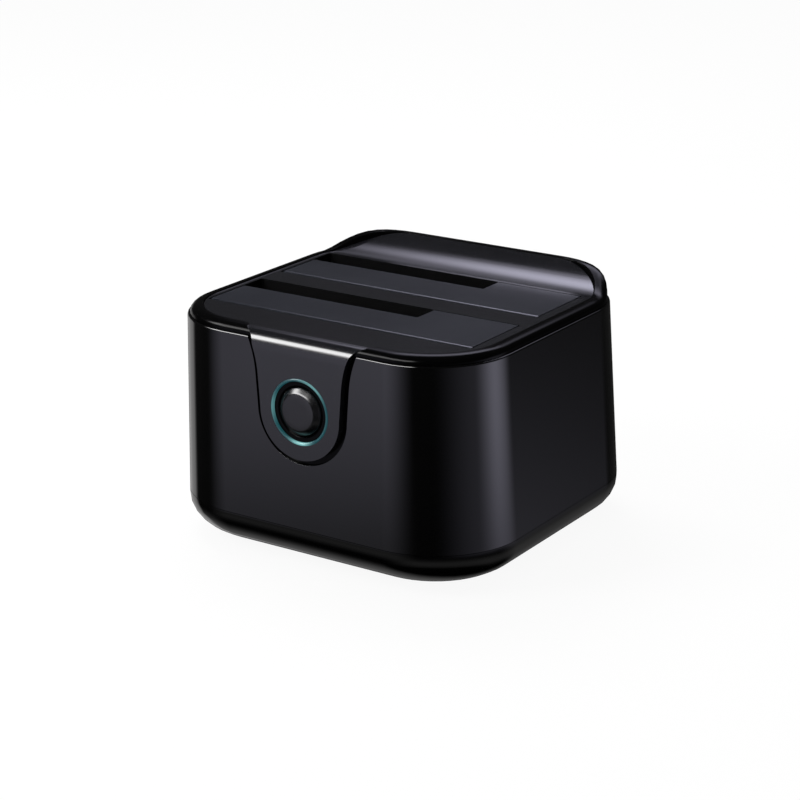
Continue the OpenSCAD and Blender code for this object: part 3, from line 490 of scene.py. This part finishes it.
tent_cloth = bpy.data.materials.new("tent_cloth")
tent_cloth.use_nodes = True
tree = tent_cloth.node_tree
tree.nodes.remove(tree.nodes["Principled BSDF"])
place = tree.nodes.new("ShaderNodeTexCoord")
way = tree.nodes.new("ShaderNodeVectorMath")
way.operation = "NORMALIZE"
tree.links.new(place.outputs["Object"], way.inputs[0])
parts = tree.nodes.new("ShaderNodeSeparateXYZ")
tree.links.new(way.outputs["Vector"], parts.inputs["Vector"])
turn = tree.nodes.new("ShaderNodeMath")
turn.operation = "ARCTAN2"
tree.links.new(parts.outputs["Y"], turn.inputs[0])
tree.links.new(parts.outputs["X"], turn.inputs[1])
rise = tree.nodes.new("ShaderNodeMath")
rise.operation = "ARCSINE"
tree.links.new(parts.outputs["Z"], rise.inputs[0])


def soft_edge(value, middle, reach, soft, round_trip):
    """Mask that is 1 within reach of the middle and fades over a soft edge, all in degrees."""
    off = tree.nodes.new("ShaderNodeMath")
    off.operation = "SUBTRACT"
    off.inputs[1].default_value = math.radians(middle)
    tree.links.new(value, off.inputs[0])
    last = off.outputs["Value"]
    if round_trip:
        wrap = tree.nodes.new("ShaderNodeMath")
        wrap.operation = "WRAP"
        wrap.inputs[1].default_value = math.pi
        wrap.inputs[2].default_value = -math.pi
        tree.links.new(last, wrap.inputs[0])
        last = wrap.outputs["Value"]
    size = tree.nodes.new("ShaderNodeMath")
    size.operation = "ABSOLUTE"
    tree.links.new(last, size.inputs[0])
    fade = tree.nodes.new("ShaderNodeMapRange")
    fade.interpolation_type = "SMOOTHSTEP"
    fade.inputs["From Min"].default_value = math.radians(reach - soft)
    fade.inputs["From Max"].default_value = math.radians(reach + soft)
    fade.inputs["To Min"].default_value = 1.0
    fade.inputs["To Max"].default_value = 0.0
    tree.links.new(size.outputs["Value"], fade.inputs["Value"])
    return fade.outputs["Result"]


# Each panel: direction from +X, reach and soft edge round the dock, then height above the horizon, reach and
# soft edge, all in degrees, its lean, its brightness and its tint
cool, plain_white = (0.97, 0.95, 1.17), (1.0, 0.99, 0.99)
panels = [
    ("front", 242.5, 17.5, 21, 0.9, 21.1, 4.2, 0.0, 1.0, cool),
    ("front_low", 242, 25, 20, -28, 6, 10, 0.0, 0.2, plain_white),
    ("key", 236, 40, 6, 38, 9.5, 4.5, 0.0, 20.0, plain_white),
    ("ramp", 118, 19, 7, 46, 9, 8, 0.8, 5.2, cool),
    ("ramp_low", 124, 5, 3, 30, 7, 4, 0.0, 0.45, cool),
    ("right", 26, 15, 16, -4.5, 14.5, 5, 0.0, 1.65, cool),
    ("right_fade", 2, 30, 32, -7, 17, 6, 0.0, 0.34, cool),
    ("right_low", 48, 12, 12, -20, 4, 6, 0.0, 0.26, cool),
    ("right_under", 75, 30, 20, -32, 8, 8, 0.0, 0.16, plain_white),
    ("left", 155, 17, 5, -20, 22, 4, 0.0, 0.6, plain_white),
    ("under", 150, 40, 30, -55, 20, 12, 0.0, 0.3, plain_white),
    ("low_glow", 330, 75, 30, -42, 9, 9, 0.0, 0.2, plain_white),
    ("cloth", 0, 200, 1, 40, 60, 8, 0.0, 0.03, plain_white),
]
total = None
for label, middle, reach, soft, height, tall, soft_tall, lean, bright, tint in panels:
    sway = tree.nodes.new("ShaderNodeMath")
    sway.operation = "MULTIPLY_ADD"
    sway.inputs[1].default_value = -lean
    tree.links.new(rise.outputs["Value"], sway.inputs[0])
    tree.links.new(turn.outputs["Value"], sway.inputs[2])
    across = soft_edge(sway.outputs["Value"], middle - lean * height, reach, soft, True)
    along = soft_edge(rise.outputs["Value"], height, tall, soft_tall, False)
    both = tree.nodes.new("ShaderNodeMath")
    both.operation = "MULTIPLY"
    both.label = label
    tree.links.new(across, both.inputs[0])
    tree.links.new(along, both.inputs[1])
    lit = tree.nodes.new("ShaderNodeVectorMath")
    lit.operation = "MULTIPLY_ADD"
    lit.inputs[1].default_value = [bright * c for c in tint]
    lit.inputs[2].default_value = (0, 0, 0)
    tree.links.new(both.outputs["Value"], lit.inputs[0])
    if total is not None:
        tree.links.new(total, lit.inputs[2])
    total = lit.outputs["Vector"]
emit = tree.nodes.new("ShaderNodeEmission")
tree.links.new(total, emit.inputs["Color"])
tree.links.new(emit.outputs["Emission"], tree.nodes["Material Output"].inputs["Surface"])

form = bmesh.new()
bmesh.ops.create_uvsphere(form, u_segments=48, v_segments=24, radius=6.0)
mesh = bpy.data.meshes.new("light_tent")
form.to_mesh(mesh)
form.free()
mesh.materials.append(tent_cloth)
tent = bpy.data.objects.new("light_tent", mesh)
bpy.context.collection.objects.link(tent)
tent.visible_camera = False
tent.visible_diffuse = False
tent.visible_shadow = False
tent.visible_transmission = False


# Lamps
# A softbox from the front left and a larger one overhead light the dock evenly. The tent stands for them in
# the gloss.

aim = (0, 0, 0.06)


def softbox(name, way, distance, size, power):
    """A rectangular lamp at a distance from the dock, turned to face its middle."""
    lamp = bpy.data.lights.new(name, "AREA")
    lamp.shape = "RECTANGLE"
    lamp.size, lamp.size_y = size
    lamp.energy = power
    box = bpy.data.objects.new(name, lamp)
    length = math.sqrt(sum(c * c for c in way))
    box.location = [c / length * distance + h for c, h in zip(way, aim)]
    toward = [h - p for h, p in zip(aim, box.location)]
    heading = math.atan2(toward[1], toward[0])
    fall = math.atan2(-toward[2], math.hypot(toward[0], toward[1]))
    box.rotation_euler = (math.pi / 2 - fall, 0, heading - math.pi / 2)
    box.visible_glossy = False
    bpy.context.collection.objects.link(box)


softbox("softbox_key", (-0.52, -0.61, 0.60), 1.0, (0.4, 0.4), 3.0)
softbox("softbox_top", (-0.45, 0.27, 0.84), 1.0, (0.6, 0.6), 5.0)


# Backdrop
# White for the camera, reflections and glass, and a plain grey fill for the rest of the light.

world = bpy.data.worlds.new("backdrop")
bpy.context.scene.world = world
world.use_nodes = True
tree = world.node_tree
plain = tree.nodes["Background"]
plain.inputs["Color"].default_value = (1, 1, 1, 1)
fill = tree.nodes.new("ShaderNodeBackground")
fill.inputs["Color"].default_value = (0.4, 0.4, 0.4, 1)
blend = tree.nodes.new("ShaderNodeMixShader")
tree.links.new(seen_directly(tree), blend.inputs["Fac"])
tree.links.new(fill.outputs["Background"], blend.inputs[1])
tree.links.new(plain.outputs["Background"], blend.inputs[2])
tree.links.new(blend.outputs["Shader"], tree.nodes["World Output"].inputs["Surface"])
bpy.context.scene.view_settings.view_transform = "Standard"


# Camera
# A long lens from the front right, a little above the deck.

lens = bpy.data.cameras.new("camera")
lens.lens = 101.52
lens.sensor_width = 36.0
lens.clip_start = 0.05
camera = bpy.data.objects.new("camera", lens)
camera.location = (0.3982, -0.607775, 0.2861)
look_down, turned = 18.54, 33.33
camera.rotation_euler = (math.radians(90 - look_down), 0, math.radians(turned))
bpy.context.collection.objects.link(camera)
bpy.context.scene.camera = camera
